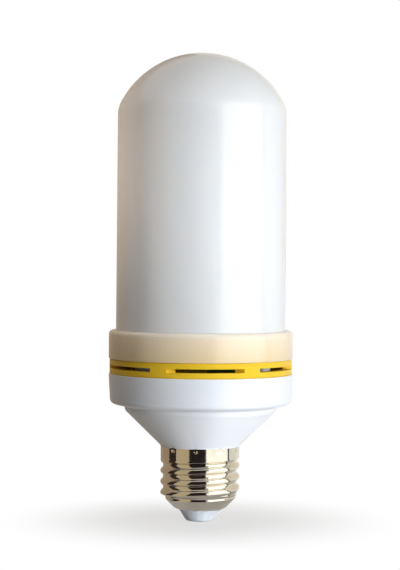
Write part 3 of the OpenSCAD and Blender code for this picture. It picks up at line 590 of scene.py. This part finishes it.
# the rolled sheet: one grid wrapped round the axis, its radius worked out from height and angle
def makeShell(material):
    named = {
        "Crest Radius": shell["crestRadius"], "Depth": shell["depth"], "Pitch": shell["pitch"],
        "Phase": shell["phase"], "Thread Foot": shell["threadFoot"], "Thread Top": shell["threadTop"],
        "Top": shell["top"], "Dimple Height": shell["dimpleHeight"], "Dimple Turn": shell["dimpleTurn"] / 360,
    }
    tree, given = newTree("rolled screw shell", named)
    calc = sumsIn(tree)

    def share(value, low, high):
        rise = addNode(tree, "ShaderNodeMapRange", {"Value": value, "From Min": low, "From Max": high})
        return rise.outputs["Result"]

    # how far a value is from the nearest whole number; the whole shift keeps it above 0
    def fromWhole(value, shift):
        return calc("SUBTRACT", calc("FRACT", calc("ADD", value, shift + 0.5)), 0.5)

    # around runs anticlockwise from the front
    grid, around, up = addGrid(tree, shell["around"], shell["rows"])
    height = calc("MULTIPLY_ADD", up, calc("SUBTRACT", given["Top"], shell["mouth"]), shell["mouth"])

    # round thread: arcs of one radius make crest and root, and meet a quarter pitch from the crest
    turns = calc("SUBTRACT", calc("DIVIDE", calc("SUBTRACT", height, shell["skirt"]), given["Pitch"]), around)
    turns = calc("ADD", turns, given["Phase"])
    off = calc("MULTIPLY", calc("ABSOLUTE", fromWhole(turns, 100)), given["Pitch"])
    flank = (shell["depth"] ** 2 + shell["pitch"] ** 2 / 4) / (4 * shell["depth"])
    crest = calc("SQRT", calc("SUBTRACT", flank ** 2, calc("POWER", off, 2.0)))
    crest = calc("ADD", calc("SUBTRACT", given["Crest Radius"], flank), crest)
    back = calc("SUBTRACT", calc("MULTIPLY", given["Pitch"], 0.5), off)
    root = calc("SQRT", calc("SUBTRACT", flank ** 2, calc("POWER", back, 2.0)))
    root = calc("SUBTRACT", calc("ADD", calc("SUBTRACT", given["Crest Radius"], given["Depth"]), flank), root)
    isRoot = calc("GREATER_THAN", off, calc("MULTIPLY", given["Pitch"], 0.25))
    rolled = addNode(tree, "ShaderNodeMix", {"Factor": isRoot, "A": crest, "B": root}).outputs["Result"]

    # the blank before it is rolled: flared mouth, cone and straight wall
    flareSlope = (shell["coneRadius"] - shell["mouthRadius"]) / (shell["cone"] - shell["mouth"])
    flare = calc("MULTIPLY_ADD", calc("SUBTRACT", height, shell["mouth"]), flareSlope, shell["mouthRadius"])
    cone = calc("MULTIPLY_ADD", calc("SUBTRACT", height, shell["cone"]), shell["taper"], shell["coneRadius"])
    blank = calc("MINIMUM", calc("MINIMUM", flare, cone), given["Crest Radius"])
    footShare = share(height, given["Thread Foot"], calc("ADD", given["Thread Foot"], shell["footRun"]))
    cut = calc("MULTIPLY", calc("SUBTRACT", given["Crest Radius"], rolled), footShare)
    topShare = share(height, *[calc("SUBTRACT", given["Thread Top"], run) for run in shell["topRun"]])
    radius = addNode(tree, "ShaderNodeMix", {
        "Factor": topShare, "A": shell["skirtRadius"], "B": calc("SUBTRACT", blank, cut),
    }).outputs["Result"]

    # crimp dimples: a ball pressed into the skirt at every step round it
    step = calc("DIVIDE", calc("SUBTRACT", around, given["Dimple Turn"]), 1 / shell["dimples"])
    aside = calc("MULTIPLY", fromWhole(step, 10), 2 * math.pi * shell["skirtRadius"] / shell["dimples"])
    above = calc("SUBTRACT", height, given["Dimple Height"])
    away = calc("ADD", calc("POWER", aside, 2.0), calc("POWER", above, 2.0))
    bowl = calc("SQRT", calc("MAXIMUM", calc("SUBTRACT", shell["dimpleRadius"] ** 2, away), 0.0))
    dent = calc("MAXIMUM", calc("SUBTRACT", bowl, shell["dimpleRadius"] - shell["dimpleDepth"]), 0.0)
    radius = calc("MULTIPLY", calc("SUBTRACT", radius, dent), mm)
    angle = calc("MULTIPLY", around, 2 * math.pi)
    spot = addNode(tree, "ShaderNodeCombineXYZ", {
        "X": calc("MULTIPLY", radius, calc("SINE", angle)),
        "Y": calc("MULTIPLY", calc("MULTIPLY", radius, calc("COSINE", angle)), -1.0),
        "Z": calc("MULTIPLY", height, mm),
    })
    wrapped = addNode(tree, "GeometryNodeSetPosition", {"Geometry": grid, "Position": spot.outputs["Vector"]})
    closed = addNode(tree, "GeometryNodeMergeByDistance", {"Geometry": wrapped.outputs["Geometry"], "Distance": 1e-6})
    sheet = runTree(tree, closed.outputs["Geometry"], named, material, "screw_shell_sheet")

    # the sheet's thickness goes inwards
    thickness = sheet.modifiers.new("sheet", "SOLIDIFY")
    thickness.thickness = shell["sheet"] * mm
    thickness.offset = -1.0
    piece = plainMesh(sheet, "screw_shell_rolled")
    piece.data.materials.clear()
    piece.data.materials.append(material)
    shadeSmooth(piece, shell["crease"])
    standFor(piece, "screw_shell", "cap_metal")


# the LED packages on the rolled board
leds = {
    "columns": 11, "rows": 9, "package": (0.7, 2.8, 3.5), "boardRadius": 18.15,
    "firstRow": 66.5, "rowPitch": 7.1875, "firstColumn": 90.0,
    "lensRadius": 1.05, "lensDepth": 0.12, "lensSides": 24,
}


# one package with its lens recess, set on every point of a grid wrapped round the board
def makeLeds(material):
    named = {"Board Radius": leds["boardRadius"], "First Row": leds["firstRow"], "Row Pitch": leds["rowPitch"],
             "Lens Radius": leds["lensRadius"]}
    tree, given = newTree("LED packages on the rolled board", named)
    calc = sumsIn(tree)
    halfThick = leds["package"][0] / 2

    body = addNode(tree, "GeometryNodeMeshCube", {"Size": leds["package"]})
    bore = addNode(tree, "GeometryNodeMeshCylinder", {
        "Vertices": leds["lensSides"], "Radius": given["Lens Radius"], "Depth": 2 * leds["lensDepth"],
    })
    face = addNode(tree, "GeometryNodeTransform", {
        "Geometry": bore.outputs["Mesh"], "Translation": (halfThick, 0, 0), "Rotation": (0, math.pi / 2, 0),
    })
    package = addNode(tree, "GeometryNodeMeshBoolean", {
        "Mesh 1": body.outputs["Mesh"], "Mesh 2": face.outputs["Geometry"],
    }, operation="DIFFERENCE")

    grid, across, up = addGrid(tree, leds["columns"], leds["rows"])
    column = calc("MULTIPLY", across, leds["columns"] - 1)
    row = calc("MULTIPLY", up, leds["rows"] - 1)
    angle = calc("MULTIPLY_ADD", column, 2 * math.pi / leds["columns"], math.radians(leds["firstColumn"]))
    radius = calc("MULTIPLY", calc("ADD", given["Board Radius"], halfThick), mm)
    spot = addNode(tree, "ShaderNodeCombineXYZ", {
        "X": calc("MULTIPLY", radius, calc("COSINE", angle)),
        "Y": calc("MULTIPLY", radius, calc("SINE", angle)),
        "Z": calc("MULTIPLY", calc("MULTIPLY_ADD", row, given["Row Pitch"], given["First Row"]), mm),
    })

    # the turn is stored before the points move, since it is worked out from their places
    turn = addNode(tree, "FunctionNodeAxisAngleToRotation", {"Axis": (0, 0, 1), "Angle": angle})
    turned = addNode(tree, "GeometryNodeStoreNamedAttribute", {
        "Geometry": grid, "Name": "turn", "Value": turn.outputs["Rotation"],
    }, data_type="QUATERNION", domain="POINT")
    wrapped = addNode(tree, "GeometryNodeSetPosition", {
        "Geometry": turned.outputs["Geometry"], "Position": spot.outputs["Vector"],
    })
    kept = addNode(tree, "GeometryNodeInputNamedAttribute", {"Name": "turn"}, data_type="QUATERNION")
    instances = addNode(tree, "GeometryNodeInstanceOnPoints", {
        "Points": wrapped.outputs["Geometry"], "Instance": package.outputs["Mesh"],
        "Rotation": kept.outputs["Attribute"], "Scale": (mm, mm, mm),
    })
    piece = runTree(tree, instances.outputs["Instances"], named, material, "flame_led_packages")
    standFor(piece, "flame_leds", "led_package")


makeDiffuser(opalPolycarbonate())
makeShell(platedSheet())
for node, material, slot in [
    ("collar_ring", creamPolycarbonate(), "collar"),
    ("vent_ring", yellowAbs(), "vent_ring"),
    ("housing", coolWhiteAbs(), "housing"),
    ("insulator", blueWhiteUrea(), "insulator"),
]:
    standFor(smoothCopy(node, material), node, slot)
print("shapes that show made")


# Pieces inside, which keep their CAD shape

# name, two colours, grain, roughness and, for metal, 1; then the CAD nodes that wear the finish
innerFinishes = [
    # soft off-white, like most inner frames
    (("off-white ABS, moulded", "#e4e3dc", "#ecebe6", 0.8, 0.4), ["core_plate", "core_tube", "core_cap"]),
    # grey metal with a dull shine
    (("zinc-plated steel, turned", "#8e9196", "#a2a5a9", 0.4, 0.35, 1.0), ["plate_screws"]),
    # pale bright metal
    (("tinned brass, pressed", "#b4b6b8", "#c6c8c9", 0.45, 0.28, 1.0), ["centre_contact"]),
    # glossy olive, brown in the dark behind the slots
    (("olive-green solder mask", "#4d6630", "#5a743a", 1.4, 0.3), ["driver_board", "control_board"]),
    # satin white film
    (("white solder mask, flexible", "#ecebe5", "#f4f3ee", 1.2, 0.35), ["flame_board"]),
    # dark blue-grey film drawn tight over a can
    (("shrink sleeve on aluminium", "#2c3242", "#394053", 1.1, 0.28), ["input_capacitor", "output_capacitor"]),
    # thick shiny red-brown coat
    (("epoxy dip, red-brown", "#9c3b28", "#ad4a34", 0.8, 0.3), ["film_capacitor"]),
    # chalky grey-green coat
    (("resistor lacquer, grey-green", "#7fa294", "#90b2a4", 0.55, 0.45), ["fuse_resistor"]),
    # dull near-black
    (("black moulded epoxy", "#1c1c1f", "#28282c", 0.4, 0.55),
     ["bridge_rectifier", "driver_chip", "control_chip", "transformer_bobbin"]),
    # amber film, brown in the dark behind the slots
    (("polyester tape over ferrite", "#c99a33", "#d6a93f", 1.4, 0.3), ["transformer_core"]),
    # clearer and shinier amber film
    (("polyester tape, yellow", "#d9a932", "#e3b944", 1.4, 0.25), ["transformer_winding"]),
    # wire sleeves with a soft shine
    (("red PVC sleeve", "#a82a22", "#b5372e", 0.65, 0.35), ["live_wire", "positive_wire"]),
    (("blue PVC sleeve", "#25488f", "#30549c", 0.65, 0.35), ["neutral_wire"]),
    (("black PVC sleeve", "#1d1d20", "#28282c", 0.65, 0.35), ["negative_wire"]),
    (("white PVC sleeve", "#e3dfd2", "#edeadf", 0.65, 0.35), ["signal_wires"]),
]

for finish, nodes in innerFinishes:
    material = innerFinish(*finish)
    for node in nodes:
        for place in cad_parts[node].material_slots:
            place.material = material

# yellow phosphor in a small pale package
makeLeds(innerFinish("white LED package", "#e9cf55", "#f1dc74", 0.35, 0.3))
print("inner pieces finished")

bpy.context.scene.view_settings.view_transform = "Standard"
